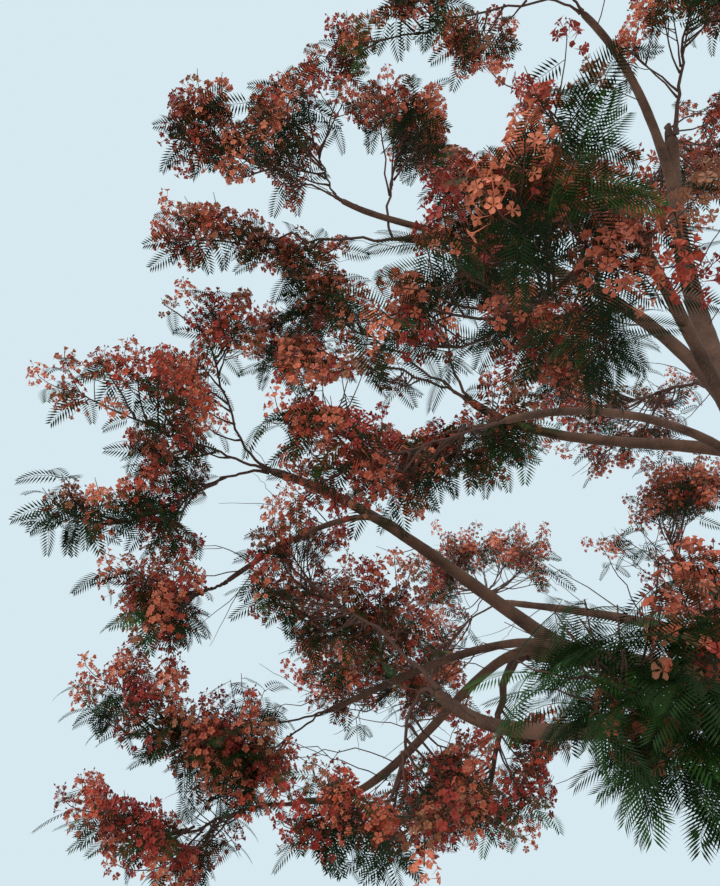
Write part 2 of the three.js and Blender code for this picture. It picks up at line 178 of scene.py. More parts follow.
# A feather leaf. Each kind of leaf has its rise at the foot and how far it droops by its tip, in
# degrees, and how far it curls to a side. A leaf's stance is its rise and roll in degrees, how far it
# leans along the twig, how far back from the tip it may spring, and how its size varies.
LEAF = {"length": 0.38, "pairs": 11, "near_pairs": 20, "far_pairs": 8, "pinna": 0.125, "pinna_width": 0.017,
        "rachis_radii": (0.0035, 0.001)}
LEAF_RUNS = [(20, 50, 0.05), (8, 40, -0.08), (26, 66, 0.1), (0, 26, -0.04)]
LEAF_STANCE = {"rise": (-45, 5), "roll": (-35, 35), "lean": 0.4, "back": 0.2, "size": (0.8, 1.12)}

# A flower, with one petal narrower than the rest, how far its kinds open, in degrees, and how common
# each is. A bud on its stalk, as a share of a flower's. A truss, which starts behind the twig's tip,
# with the lift in degrees and the share of full stalk of its lowest and its highest flower.
FLOWER = {"petals": 5, "petal": 0.044, "width": 0.033, "narrow": 0.75, "cup": 0.01, "stalk": 0.075,
          "stalk_radius": 0.0035, "stamens": 0.04, "stamens_radius": 0.004}
FLOWER_OPEN = (62, 78, 40)
FLOWER_SHARES = (0.5, 0.35, 0.15)
BUD = {"radius": 0.012, "length": 0.022, "stalk": 0.7, "stalk_radius": 0.003}
TRUSS = {"length": 0.26, "behind": 0.13, "flowers": 16, "buds": 3, "ahead": 0.7, "up": 0.55,
         "lift": (8, 58), "lift_varies": 9, "stalks": (1.5, 0.9), "face_varies": 0.16, "face_up": 0.15,
         "count_varies": (0.75, 1.25), "size_varies": (0.85, 1.15)}

# How many leaves stand round a tip: on a primary twig in bloom, on a side twig in bloom by chance,
# on twigs out of bloom, and on every twig of a mass that is mostly leaves
ROSETTE = {"primary": 3, "side_chance": 0.4, "out_of_bloom": 3, "leafy": 4}

# A mass with less bloom than this is mostly leaves. There this share of the side twigs of a twig in
# bloom bloom too; in the other masses this share of side twigs differ from their own twig.
LEAFY_BELOW = 0.4
LEAFY_SIDE_BLOOM = 0.6
SIDE_DIFFERS = 0.15

# How near the camera flowers and leaves have their full detail, how far off leaves are plainest,
# and how many pixels past the frame's edge still count as in view
NEAR = {"flowers": 5.6, "leaves": 5.5}
FAR = 10.5
EDGE = 90

# The standing point of the camera and how it looks up, and the photograph's frame in pixels
CAMERA_PLACE = np.array([-4.3, -6.14, 1.6])
CAMERA_PITCH = 35.0
FOCAL_PIXELS = 722.0
FRAME_WIDTH, FRAME_HEIGHT = 720, 886

# Gaps between the masses, where one sees right through the crown: the middle and half size of each,
# in the photograph's pixels
GAPS = [
    (480, 115, 35, 40), (250, 196, 38, 16), (240, 281, 52, 10), (425, 262, 46, 12), (350, 395, 36, 16),
    (410, 415, 24, 16), (215, 515, 38, 20), (100, 475, 24, 13), (245, 645, 42, 24), (496, 508, 42, 18),
    (596, 516, 34, 22), (502, 600, 38, 34), (435, 735, 20, 20), (140, 780, 36, 22), (300, 862, 24, 14),
    (530, 700, 24, 15), (570, 770, 24, 20), (60, 300, 104, 50), (70, 180, 92, 90), (120, 35, 195, 40),
    (230, 62, 60, 18), (240, 100, 12, 26), (198, 195, 32, 10), (345, 2, 46, 14), (548, 62, 36, 22),
]


def heading(bearing, rise):
    b, e = math.radians(bearing), math.radians(rise)
    return np.array([math.sin(b) * math.cos(e), math.cos(b) * math.cos(e), math.sin(e)])


def place(bearing, reach, height):
    return heading(bearing, 0) * reach + UP * height


def unit(v):
    return v / np.maximum(np.linalg.norm(v, axis=-1, keepdims=True), 1e-9)


def along(pulls, shares):
    """Places at the given shares of the curve that its control points pull."""
    s = np.atleast_1d(shares)[:, None]
    level = [np.asarray(p, float)[None] for p in pulls]
    while len(level) > 1:
        level = [a * (1 - s) + b * s for a, b in zip(level, level[1:])]
    return level[0]


def run_of(pulls, share):
    """The curve's direction at a share of it."""
    return unit(along(np.diff(np.asarray(pulls, float), axis=0), share)[0])


def seeded(seed):
    """The source's own run of numbers from 0 to 1, the same each time."""
    state = [seed]

    def draw():
        state[0] = state[0] * 16807 % 2147483647
        return state[0] / 2147483647

    return draw


def smoothstep(x, low, high):
    t = min(max((x - low) / (high - low), 0), 1)
    return t * t * (3 - 2 * t)


# Where the boughs and stems run
def bough_line(start, tip, run):
    rise, level, swing = run
    span = tip - start
    bearing = math.degrees(math.atan2(span[0], span[1]))
    pull = np.linalg.norm(span) / 3
    return np.array([start, start + heading(bearing + swing, rise) * pull,
                     tip - heading(bearing - swing, level) * pull, tip])


lines = {"trunk": TRUNK_LINE}
for name, (carrier, share, tip, run, radii) in BOUGHS.items():
    start = FORK * share if carrier == "trunk" else along(lines[carrier], share)[0]
    lines[name] = bough_line(start, place(*tip), run)


def stem_line(name):
    """A mass's stem from its bough's tip, where stems that share a tip stand in a ring."""
    bough, end = MASSES[name][0], place(*MASSES[name][1])
    tip, ahead, radius = lines[bough][-1], run_of(lines[bough], 1), BOUGHS[bough][4][1]
    side = unit(np.cross(ahead, UP))
    top = np.cross(side, ahead)

    def turn_to(mass):
        span = place(*MASSES[mass][1]) - tip
        return math.atan2(span @ top, span @ side)

    sharing = sorted((m for m in MASSES if MASSES[m][0] == bough), key=turn_to)
    alone = len(sharing) == 1
    turn = turn_to(sharing[0]) + 2 * math.pi * sharing.index(name) / len(sharing)
    off = 0 if alone else STEM["off"] * radius
    root = tip + side * off * math.cos(turn) + top * off * math.sin(turn)
    span = end - root
    length = np.linalg.norm(span)
    level = span * (1, 1, STEM["level"])
    radius *= STEM["lone_share"] if alone else STEM["face_share"]
    return np.array([root, root + ahead * STEM["pull"] * length / 3, end - level / 3, end]), length, radius


stems = {name: stem_line(name) for name in MASSES}
sample_shares = np.arange(1, STEM["samples"] + 1) / STEM["samples"]
samples = np.concatenate([along(line, sample_shares) for line, _, _ in stems.values()])
sample_owner = np.repeat(np.arange(len(MASSES)), STEM["samples"])


def is_leafy(number):
    """Whether a mass is mostly leaves."""
    return list(MASSES.values())[number][3] < LEAFY_BELOW


def is_own(point, number):
    """Whether no other mass's stem is nearer."""
    apart = np.linalg.norm(samples - point, axis=1)
    return sample_owner[apart.argmin()] == number


def seen_at(points):
    """Where points show in the photograph's frame, in its pixels."""
    d = points - CAMERA_PLACE
    c, s = math.cos(math.radians(CAMERA_PITCH)), math.sin(math.radians(CAMERA_PITCH))
    ahead = np.maximum(d[..., 1] * c + d[..., 2] * s, 0.05)
    up = -d[..., 1] * s + d[..., 2] * c
    return (FRAME_WIDTH / 2 + FOCAL_PIXELS * d[..., 0] / ahead,
            FRAME_HEIGHT / 2 - FOCAL_PIXELS * up / ahead)


def in_gap(points):
    """Whether points would stand in a gap of the crown, as seen from the standing point."""
    u, v = seen_at(points)
    hit = np.zeros(u.shape, bool)
    for mid_u, mid_v, half_u, half_v in GAPS:
        hit |= ((u - mid_u) / half_u) ** 2 + ((v - mid_v) / half_v) ** 2 < 1
    return hit


low_corner, high_corner = (np.array(c) for c in cad_box)


def kept(points):
    """Whether points stand within the tree's reach and clear of the gaps."""
    return np.all((points > low_corner) & (points < high_corner), axis=-1) & ~in_gap(points)


# Grow the twigs: primary twigs where the source has them, then side twigs round each
DETAIL_SEED = 41
detail = np.random.default_rng(DETAIL_SEED)
twig_paths = {kind: [] for kind in TWIG_TUBES}
# Of each tip: its place, its direction, whether it is in bloom, its mass's number, and whether its
# twig is a primary one
tips = []


def add_twig(kind, pulls, radii):
    rings, bunched, _ = TWIG_TUBES[kind]
    root_radius, tip_radius = radii
    shares = np.linspace(0, 1, rings) ** bunched
    path = along(pulls, shares)
    length = np.linalg.norm(path[-1] - path[0])
    wander = detail.normal(0, 1, (rings, 3)) * (length * TWIG_WANDER)
    path = path + wander * np.sin(np.pi * shares)[:, None]
    swell = 1 + TWIG_SWELL.get(kind, 0) * np.exp(-shares * length / (TWIG_SWELL["reach"] * root_radius))
    twig_paths[kind].append((path, (root_radius + (tip_radius - root_radius) * shares) * swell))


def grow_mass(name, number):
    line, length, stem_radius = stems[name]
    _, _, spread, bloom = MASSES[name]
    random = seeded(1009 * number + 17)
    for _ in range(SPRAY["draws"]):
        random()
    add_twig("stem", line, (stem_radius, STEM["tip_radius"]))
    tips.append((line[-1], run_of(line, 1), True, number, True))
    more = FINE["low_more" if line[-1][2] < FINE["low"] else "more"]
    more *= max(1, spread / FINE["full"]) ** FINE["wide"]
    count = round(more * (TWIG["least"] + TWIG["per_metre"] * math.sqrt(length * spread)))
    grown = 0
    for k in range(FINE["tries"] * count):
        share = STEM["bare"] + (STEM["last"] - STEM["bare"]) * ((k * GOLDEN_SHARE) % 1) ** STEM["crowding"]
        size = SPRAY["least"] + SPRAY["of_spread"] * spread
        size *= SPRAY["size"] + SPRAY["size_varies"] * random()
        root, ahead = along(line, share)[0], run_of(line, share)
        side = unit(np.cross(ahead, UP))
        top = np.cross(side, ahead)
        turn = math.radians(GOLDEN_ANGLE * k + TWIG["sway"] * random())
        out = ahead * TWIG["forward"] + side * math.cos(turn) + top * TWIG["flat"] * math.sin(turn)
        reach = (spread - 0.5 * size) * (TWIG["size"] + TWIG["size_varies"] * random())
        reach = max(TWIG["shortest"], reach)
        in_bloom = random() < bloom
        for _ in range(SPRAY["draws"]):
            random()
        out = unit(out) * reach
        tip = root + out + UP * TWIG["lift"] * reach
        if grown >= count or not is_own(tip, number) or not kept(tip):
            continue
        grown += 1
        bend = root + out * BEND - UP * PRIMARY["sag"] * reach
        bend = bend + detail.normal(0, PRIMARY["wander"] * reach, 3)
        add_twig("primary", (root, bend, tip), TWIG_RADII["primary"])
        tips.append((tip, run_of((root, bend, tip), 1), in_bloom, number, True))
        for j in range(SIDE["count"]):
            grow_side((root, bend, tip), size, j, in_bloom, number)


def grow_side(pulls, size, j, in_bloom, number):
    """A side twig, the one of number j on a primary twig, whose curve the pulls give."""
    share = SIDE["first"] + SIDE["over"] * (j + SIDE["stagger"] * detail.random()) / SIDE["count"]
    start, ahead = along(pulls, share)[0], run_of(pulls, share)
    side = unit(np.cross(ahead, UP))
    top = np.cross(side, ahead)
    turn = math.radians(GOLDEN_ANGLE * j + 180 * detail.random())
    out = unit(ahead * SIDE["forward"] + side * math.cos(turn) + top * SIDE["flat"] * math.sin(turn))
    out = out * size * SIDE["reach"] * (SIDE["size"] + SIDE["size_varies"] * detail.random())
    end = start + out + UP * SIDE["lift"] * np.linalg.norm(out)
    if not is_own(end, number) or not kept(end):
        return
    middle = start + out * BEND - UP * SIDE["sag"] * np.linalg.norm(out)
    add_twig("side", (start, middle, end), TWIG_RADII["side"])
    if is_leafy(number):
        blooms = in_bloom and detail.random() < LEAFY_SIDE_BLOOM
    else:
        blooms = in_bloom ^ (detail.random() < SIDE_DIFFERS)
    tips.append((end, run_of((start, middle, end), 1), blooms, number, False))


def grow_bare(name):
    """Thin bare twigs that arch out from a bough and sink at their ends, some of them forked."""
    line = lines[name]
    is_low = line[-1][2] < BARE["low"]
    many = round(np.linalg.norm(line[-1] - line[0]) * BARE["low_per_metre" if is_low else "per_metre"])
    for k in range(many):
        share = BARE["first"] + BARE["over"] * (k + detail.random()) / many
        start, ahead = along(line, share)[0], run_of(line, share)
        side = unit(np.cross(ahead, UP))
        turn = 2 * math.pi * detail.random()
        rise = BARE["lift"] + BARE["climb"] * math.sin(turn)
        out = unit(ahead * BARE["forward"] + side * math.cos(turn) + UP * rise)
        reach = BARE["length"] * (BARE["size"] + detail.random())
        bend = start + out * reach * BEND
        arch = out * (1, 1, BARE["end_flat"]) + ahead * BARE["forward"]
        end = bend + unit(arch + UP * detail.uniform(*BARE["end_rise"])) * reach * BEND
        add_twig("bare", (start, bend, end), TWIG_RADII["bare"])
        if detail.random() < BARE["forked"]:
            fork = along((start, bend, end), BARE["fork_at"])[0]
            away = unit(out + ahead * BARE["fork_forward"] + detail.normal(0, 0.5, 3))
            tip = fork + away * reach * BARE["fork_size"]
            middle = (fork + tip) / 2 + UP * detail.uniform(-BARE["fork_bend"], BARE["fork_bend"])
            add_twig("bare", (fork, middle, tip), TWIG_RADII["fork"])


for number, name in enumerate(MASSES):
    grow_mass(name, number)
for name in BOUGHS:
    grow_bare(name)


# Meshes from arrays, for the many small things
def joined(name, points, faces, material, smooth=False):
    mesh = bpy.data.meshes.new(name)
    mesh.vertices.add(len(points))
    mesh.vertices.foreach_set("co", points.astype(np.float32).ravel())
    mesh.loops.add(faces.size)
    mesh.loops.foreach_set("vertex_index", faces.astype(np.int32).ravel())
    mesh.polygons.add(len(faces))
    mesh.polygons.foreach_set("loop_start", np.arange(0, faces.size, 3, dtype=np.int32))
    mesh.polygons.foreach_set("use_smooth", np.full(len(faces), smooth))
    mesh.update(calc_edges=True)
    mesh.materials.append(material)
    piece = bpy.data.objects.new(name, mesh)
    bpy.context.scene.collection.objects.link(piece)
    return piece


def tubes(paths, radii, sides):
    """Points and triangles of many closed tubes of the same number of rings and sides."""
    count, rings = paths.shape[:2]
    runs = unit(np.gradient(paths, axis=1))
    first = unit(np.cross(runs[:, 0], np.where(np.abs(runs[:, 0, 2:]) < 0.9, UP, [1.0, 0.0, 0.0])))
    across = unit(first[:, None] - (first[:, None] * runs).sum(-1, keepdims=True) * runs)
    up = np.cross(runs, across)
    angle = 2 * np.pi * np.arange(sides) / sides
    ring = across[:, :, None] * np.cos(angle)[:, None] + up[:, :, None] * np.sin(angle)[:, None]
    points = paths[:, :, None] + ring * radii[:, :, None, None]
    k = np.arange(sides)
    after = (k + 1) % sides
    halves = np.stack([k, after, after + sides], 1), np.stack([k, after + sides, k + sides], 1)
    band = np.concatenate(halves)
    wall = np.concatenate([band + sides * r for r in range(rings - 1)])
    fan = np.stack([np.zeros(sides - 2, int), k[1:-1], k[2:]], 1)
    faces = np.concatenate([wall, fan[:, ::-1], fan + sides * (rings - 1)])
    start = (np.arange(count) * rings * sides)[:, None, None]
    return points.reshape(-1, 3), (faces[None] + start).reshape(-1, 3)


def together(parts):
    """Joins lists of (points, triangles) into one."""
    points, faces, start = [], [], 0
    for p, f in parts:
        points.append(p)
        faces.append(f + start)
        start += len(p)
    return np.concatenate(points), np.concatenate(faces)


def template(bm):
    """A small bmesh shape as points and triangles, to be repeated."""
    bmesh.ops.triangulate(bm, faces=bm.faces[:])
    bm.verts.index_update()
    points = np.array([v.co[:] for v in bm.verts])
    faces = np.array([[v.index for v in f.verts] for f in bm.faces])
    bm.free()
    return points, faces


def repeated(shape, places, bases, sizes):
    """A shape repeated at places, turned by bases whose rows are its own X, Y and Z."""
    points, faces = shape
    out = np.einsum("vi,nij->nvj", points, bases) * sizes[:, None, None] + places[:, None]
    start = (np.arange(len(places)) * len(points))[:, None, None]
    return out.reshape(-1, 3), (faces[None] + start).reshape(-1, 3)


# A flower on its stalk: four broad petals and a narrower fifth, spoon-shaped, round the stamens.
# Flowers far from the camera are plainer.
FULL_PETAL = [(0, 0.06, 0), (0.4, 0.13, 0.7), (0.7, 0.48, 1), (0.97, 0.3, 0.2), (1.04, -0.22, -0.2),
              (0.76, -0.5, 0.8), (0.42, -0.13, 0.7), (0, -0.06, 0)]
PLAIN_PETAL = [(0, 0, 0), (0.72, 0.5, 0.8), (1, 0, 0), (0.72, -0.5, 0.8)]


def petal_shape(outline, length, width, cup):
    bm = bmesh.new()
    bmesh.ops.create_circle(bm, cap_ends=True, segments=len(outline), radius=1)
    for vert, (far, wide, high) in zip(bm.verts, reversed(outline)):
        vert.co = (far * length, wide * width, high * cup)
    return template(bm)


def turned(shape, angle, tilt=0.0):
    points, faces = shape
    spin, lift = Matrix.Rotation(math.radians(angle), 3, "Z"), Matrix.Rotation(math.radians(-tilt), 3, "Y")
    return points @ np.array(spin @ lift).T, faces


def spike(foot, head, foot_radius, head_radius):
    """A three-sided spike along the Z axis."""
    bm = bmesh.new()
    bmesh.ops.create_cone(bm, segments=3, radius1=foot_radius, radius2=head_radius, depth=head - foot,
                          cap_ends=False)
    bmesh.ops.translate(bm, verts=bm.verts[:], vec=(0, 0, (head + foot) / 2))
    return template(bm)


def flower_shape(open_by, outline):
    """A flower whose petals stand a little unevenly."""
    parts = [spike(-FLOWER["stalk"], 0, 0, FLOWER["stalk_radius"])]
    if outline is FULL_PETAL:
        parts.append(spike(0, FLOWER["stamens"], FLOWER["stamens_radius"], 0.0))
    for k in range(FLOWER["petals"]):
        width = FLOWER["width"] * (FLOWER["narrow"] if k == 0 else 1)
        petal = petal_shape(outline, FLOWER["petal"], width, FLOWER["cup"])
        angle = 360 / FLOWER["petals"] * k + 9 * math.sin(3 * k)
        parts.append(turned(petal, angle, 90 - open_by + 8 * math.cos(5 * k)))
    return together(parts)


def bud_shape():
    bm = bmesh.new()
    bmesh.ops.create_cone(bm, segments=3, radius1=BUD["radius"], radius2=0, depth=BUD["length"],
                          cap_ends=True)
    bmesh.ops.translate(bm, verts=bm.verts[:], vec=(0, 0, BUD["length"] / 2))
    return together([spike(-FLOWER["stalk"] * BUD["stalk"], 0, 0, BUD["stalk_radius"]), template(bm)])


# A feather leaf: pairs of slim pinnae on a rachis that arches over, longest a little below the middle,
# and swept forward more towards the leaf's tip
def leaf_shape(rise, droop, curl, pairs):
    length = LEAF["length"]
    shares = np.linspace(0, 1, pairs + 3)
    angles = np.radians(rise - droop * shares)
    step = length / (len(shares) - 1)
    path = np.zeros((len(shares), 3))
    path[1:, 0] = np.cumsum(np.cos(angles[:-1])) * step
    path[1:, 2] = np.cumsum(np.sin(angles[:-1])) * step
    path[:, 1] = curl * length * shares**2
    rachis_path = path[None, ::4]
    rachis = tubes(rachis_path, np.linspace(*LEAF["rachis_radii"], rachis_path.shape[1])[None], 3)
    bm = bmesh.new()
    bmesh.ops.create_circle(bm, cap_ends=True, segments=4, radius=1)
    for vert in bm.verts:
        far = 0.0 if vert.co.y > 0.5 else 1.0 if vert.co.y < -0.5 else 0.4
        vert.co = (far, vert.co.x * 0.5, 0)
    pinna = template(bm)
    parts = [rachis]
    for k in range(2, len(shares)):
        share = shares[k]
        reach = LEAF["pinna"] * (0.3 + 0.7 * math.sin(math.pi * (0.12 + 0.8 * share)) ** 0.8)
        run = unit(path[k] - path[k - 1])
        for hand in (1, -1):
            side = np.array([0, hand, 0.0]) + run * (0.4 + 0.9 * share**2) - UP * 0.16
            x = unit(side)
            y = unit(np.cross(np.cross(run, [0, hand, 0.0]) * hand, x))
            basis = np.stack([x * reach, y * LEAF["pinna_width"] * LEAF["pairs"] / pairs, np.cross(x, y)])
            parts.append((pinna[0] @ basis + path[k], pinna[1]))
    return together(parts)


bud = bud_shape()
flower_shapes = {near: [flower_shape(open_by, outline) for open_by in FLOWER_OPEN]
                 for near, outline in ((True, FULL_PETAL), (False, PLAIN_PETAL))}
leaf_shapes = {pairs: [leaf_shape(*run, LEAF[pairs]) for run in LEAF_RUNS]
               for pairs in ("near_pairs", "pairs", "far_pairs")}


# Dress the tips: leaves round each, and a truss of flowers on those in bloom
def bases_along(x, roll):
    """Bases whose X runs along x, with Z as near up as the roll lets it."""
    y = unit(np.cross(UP, x))
    z = np.cross(x, y)
    c, s = np.cos(roll)[:, None], np.sin(roll)[:, None]
    return np.stack([x, y * c + z * s, z * c - y * s], 1)


def bases_facing(z, spin):
    """Bases whose Z runs along z, spun about it."""
    x = unit(np.cross(z, np.where(np.abs(z[:, 2:]) < 0.9, UP, [1.0, 0.0, 0.0])))
    y = np.cross(z, x)
    c, s = np.cos(spin)[:, None], np.sin(spin)[:, None]
    return np.stack([x * c + y * s, y * c - x * s, z], 1)


# The sprays' tones, and how common each is: leaves in masses of bloom and of leaves, and petals by
# height as painted light and shade, where higher sprays get more of the painted lit salmon and lower
# ones more of the painted shaded crimson
LEAF_TONES = ("leaf_shaded_deep", "leaf_mid", "leaf_sunlit")
# Painted light and shade on the leaves: masses of leaves get more of the painted sunlit green, masses of
# bloom more of the painted shaded green
LEAF_ODDS = {"bloom": (0.5, 0.4, 0.1), "leafy": (0.2, 0.45, 0.35)}
PETAL_TONES = ("petal_lit_salmon", "petal_brick", "petal_scarlet", "petal_shaded_crimson", "petal_shaded_rust")
PETAL_ODDS_LOW = np.array([0.08, 0.32, 0.14, 0.4, 0.06])
PETAL_ODDS_RISE = np.array([0.46, 0, 0, -0.36, 0.13])
PETAL_HEIGHTS = (2.5, 11.0)
leaves = {tone: [] for tone in LEAF_TONES}
petals = {tone: [] for tone in PETAL_TONES}
buds = []


def is_near(point, reach):
    """Whether a point is in view from the standing point and nearer to it than the reach."""
    u, v = seen_at(point)
    in_view = -EDGE < u < FRAME_WIDTH + EDGE and -EDGE < v < FRAME_HEIGHT + EDGE
    return in_view and np.linalg.norm(point - CAMERA_PLACE) < reach


def add_leaves(tip, ahead, many, tone):
    if not many:
        return
    turn = detail.random() * 2 * np.pi + np.radians(GOLDEN_ANGLE) * np.arange(many)
    rise = np.radians(detail.uniform(*LEAF_STANCE["rise"], many))
    run = np.stack([np.cos(turn) * np.cos(rise), np.sin(turn) * np.cos(rise), np.sin(rise)], 1)
    run = unit(run + ahead * (1, 1, 0.2) * LEAF_STANCE["lean"])
    root = tip - ahead * detail.uniform(0.0, LEAF_STANCE["back"], (many, 1))
    size = detail.uniform(*LEAF_STANCE["size"], many)
    basis = bases_along(run, np.radians(detail.uniform(*LEAF_STANCE["roll"], many)))
    keep = kept(root + run * LEAF["length"] * 0.8)
    pairs = "near_pairs" if is_near(tip, NEAR["leaves"]) else "pairs" if is_near(tip, FAR) else "far_pairs"
    shapes = leaf_shapes[pairs]
    kind = detail.integers(0, len(shapes), many)
    for k, shape in enumerate(shapes):
        pick = keep & (kind == k)
        if pick.any():
            leaves[tone].append(repeated(shape, root[pick], basis[pick], size[pick]))


def add_truss(tip, ahead, tone):
    """Flowers in a spiral up a stalk that carries the twig on, the lowest on the longest stalks."""
    run = unit(ahead * TRUSS["ahead"] + UP * TRUSS["up"])
    many = int(TRUSS["flowers"] * detail.uniform(*TRUSS["count_varies"])) + TRUSS["buds"]
    share = (np.arange(many) + 0.5) / many
    side = unit(np.cross(run, UP) + 1e-6)
    top = np.cross(side, run)
    turn = (np.radians(GOLDEN_ANGLE) * np.arange(many) + detail.random() * 6.28)[:, None]
    low, high = TRUSS["lift"]
    lift = low + (high - low) * share + detail.normal(0, TRUSS["lift_varies"], many)
    lift = np.radians(lift)[:, None]
    face = (side * np.cos(turn) + top * np.sin(turn)) * np.cos(lift) + run * np.sin(lift)
    size = detail.uniform(*TRUSS["size_varies"], many)
    axis = tip + run * (share * TRUSS["length"] - TRUSS["behind"])[:, None]
    longest, shortest = TRUSS["stalks"]
    at = axis + face * (FLOWER["stalk"] * size * (longest - (longest - shortest) * share))[:, None]
    face = unit(face + detail.normal(0, TRUSS["face_varies"], (many, 3)) + UP * TRUSS["face_up"])
    basis = bases_facing(face, detail.random(many) * 6.28)
    keep = kept(at)
    kind = detail.choice(len(FLOWER_OPEN), many, p=FLOWER_SHARES)
    kind[-TRUSS["buds"]:] = len(FLOWER_OPEN)
    for k, shape in enumerate(flower_shapes[is_near(tip, NEAR["flowers"])]):
        pick = keep & (kind == k)
        if pick.any():
            petals[tone].append(repeated(shape, at[pick], basis[pick], size[pick]))
    pick = keep & (kind == len(FLOWER_OPEN))
    if pick.any():
        buds.append(repeated(bud, at[pick], basis[pick], size[pick]))
    head = TRUSS["length"] - TRUSS["behind"]
    add_twig("axis", (tip, tip + run * 0.06, tip + run * head), TWIG_RADII["axis"])


for tip, ahead, in_bloom, number, is_primary in tips:
    if in_gap(tip):
        continue
    leafy = is_leafy(number)
    if in_bloom and not leafy:
        many = ROSETTE["primary"] if is_primary else int(detail.random() < ROSETTE["side_chance"])
    else:
        many = ROSETTE["leafy"] if leafy else ROSETTE["out_of_bloom"]
    odds = LEAF_ODDS["leafy" if leafy else "bloom"]
    add_leaves(tip, ahead, many, LEAF_TONES[int(detail.choice(len(LEAF_TONES), p=odds))])
    if in_bloom:
        # Painted light and shade by height: low trusses more often get the painted shaded crimson, high ones
        # the painted lit salmon
        low, high = PETAL_HEIGHTS
        odds = PETAL_ODDS_LOW + PETAL_ODDS_RISE * (tip[2] - low) / (high - low)
        add_truss(tip, ahead, PETAL_TONES[int(detail.choice(len(PETAL_TONES), p=odds / odds.sum()))])


# Materials
def linear(code):
    """A hex sRGB colour as linear RGBA."""
    channels = [int(code[i:i + 2], 16) / 255 for i in (1, 3, 5)]
    return [c / 12.92 if c <= 0.04045 else ((c + 0.055) / 1.055) ** 2.4 for c in channels] + [1]


def node(tree, kind, settings=None, links=None):
    """Adds a node, sets its properties and sockets, and links its inputs from other nodes' outputs."""
    made = tree.nodes.new(kind)
    for key, value in (settings or {}).items():
        if isinstance(key, str) and hasattr(made, key):
            setattr(made, key, value)
        else:
            made.inputs[key].default_value = value
    for socket, (source, output) in (links or {}).items():
        tree.links.new(source.outputs[output], made.inputs[socket])
    return made


def material(name):
    made = bpy.data.materials.new(name)
    made.use_nodes = True
    made.node_tree.nodes.clear()
    return made, made.node_tree


def surface(tree, settings, links=None):
    shader = node(tree, "ShaderNodeBsdfPrincipled", settings, links)
    node(tree, "ShaderNodeOutputMaterial", links={"Surface": (shader, 0)})


# The bark's pattern in metres: patches of tone about 290 mm across, cracks 26 mm and pores 24 mm
# apart, pores flattened to 9 mm, and a relief of 8 mm, all somewhat coarser than life so that they show
BARK = {"patch": 1 / 3.5, "crack": 1 / 38, "pore": 1 / 42, "flattened": 2.6, "relief": 0.008}


def bark():
    # Young flame tree bark: thin, grey brown, with corky pores in level rows and shallow cracks
    made, tree = material("bark_thin_corky")
    spot = node(tree, "ShaderNodeTexCoord")
    at = {"Vector": (spot, "Object")}
    pores_at = node(tree, "ShaderNodeMapping", {"Scale": (1, 1, BARK["flattened"])}, at)
    patches = node(tree, "ShaderNodeTexNoise",
                   {"Scale": 1 / BARK["patch"], "Detail": 6, "Roughness": 0.6}, at)
    cracks = node(tree, "ShaderNodeTexNoise",
                  {"Scale": 1 / BARK["crack"], "Detail": 5, "Roughness": 0.7}, at)
    pores = node(tree, "ShaderNodeTexVoronoi",
                 {"Scale": 1 / BARK["pore"], "Randomness": 0.9}, {"Vector": (pores_at, 0)})
    tone = node(tree, "ShaderNodeValToRGB", links={"Fac": (patches, 0)})
    for stop, position, code in zip(tone.color_ramp.elements, (0.32, 0.7), ("#3A2419", "#785442")):
        stop.position, stop.color = position, linear(code)
    fade = {"From Min": 0.12, "From Max": 0.26, "To Min": 1, "To Max": 0}
    pore_mask = node(tree, "ShaderNodeMapRange", fade, {"Value": (pores, 0)})
    blend = node(tree, "ShaderNodeMix", {"data_type": "RGBA", 7: linear("#8A6A55")},
                 {0: (pore_mask, 0), 6: (tone, 0)})
    relief = node(tree, "ShaderNodeMath", {"operation": "MULTIPLY_ADD", 1: 0.5},
                  {0: (pore_mask, 0), 2: (cracks, 0)})
    bump = node(tree, "ShaderNodeBump", {"Strength": 0.7, "Distance": BARK["relief"]},
                {"Height": (relief, 0)})
    surface(tree, {"Roughness": 0.85}, {"Base Color": (blend, 2), "Normal": (bump, 0)})
    return made


def plain(name, code, roughness, shine=0.5, sheen=0.0):
    made, tree = material(name)
    surface(tree, {"Base Color": linear(code), "Roughness": roughness, "Specular IOR Level": shine,
                   "Sheen Weight": sheen, "Sheen Roughness": 0.5})
    return made


finishes = {
    # Thin petals: soft and matt, each spray in one of the bloom's reds. The salmon is a painted lit tone, the
    # crimson and the rust are painted shade tones, and the brick and the scarlet are the bloom's own reds
    "petal_lit_salmon": plain("petal_lit_salmon", "#DE7C5A", 0.6, 0.25, 0.15),
    "petal_brick": plain("petal_brick", "#BC5E42", 0.6, 0.25, 0.15),
    "petal_scarlet": plain("petal_scarlet", "#BE4A30", 0.55, 0.25, 0.15),
    "petal_shaded_crimson": plain("petal_shaded_crimson", "#A03226", 0.55, 0.25, 0.15),
    "petal_shaded_rust": plain("petal_shaded_rust", "#9A6244", 0.65, 0.25, 0.15),
    # Feather leaves: a thin waxy skin over green. The middle green is the leaves' own, the darkest green is a
    # painted shade tone and the brightest green is a painted sunlit tone
    "leaf_shaded_deep": plain("leaf_shaded_deep", "#122208", 0.65, 0.2),
    "leaf_mid": plain("leaf_mid", "#1A330C", 0.65, 0.2),
    "leaf_sunlit": plain("leaf_sunlit", "#2B5513", 0.55, 0.35),
    # Young wood: smooth and reddish brown. Buds: closed, in their leathery red sepals
    "twig": plain("young_bark", "#54362A", 0.75),
    "bud": plain("flower_bud", "#7C2F22", 0.6),
}
bark_finish = bark()


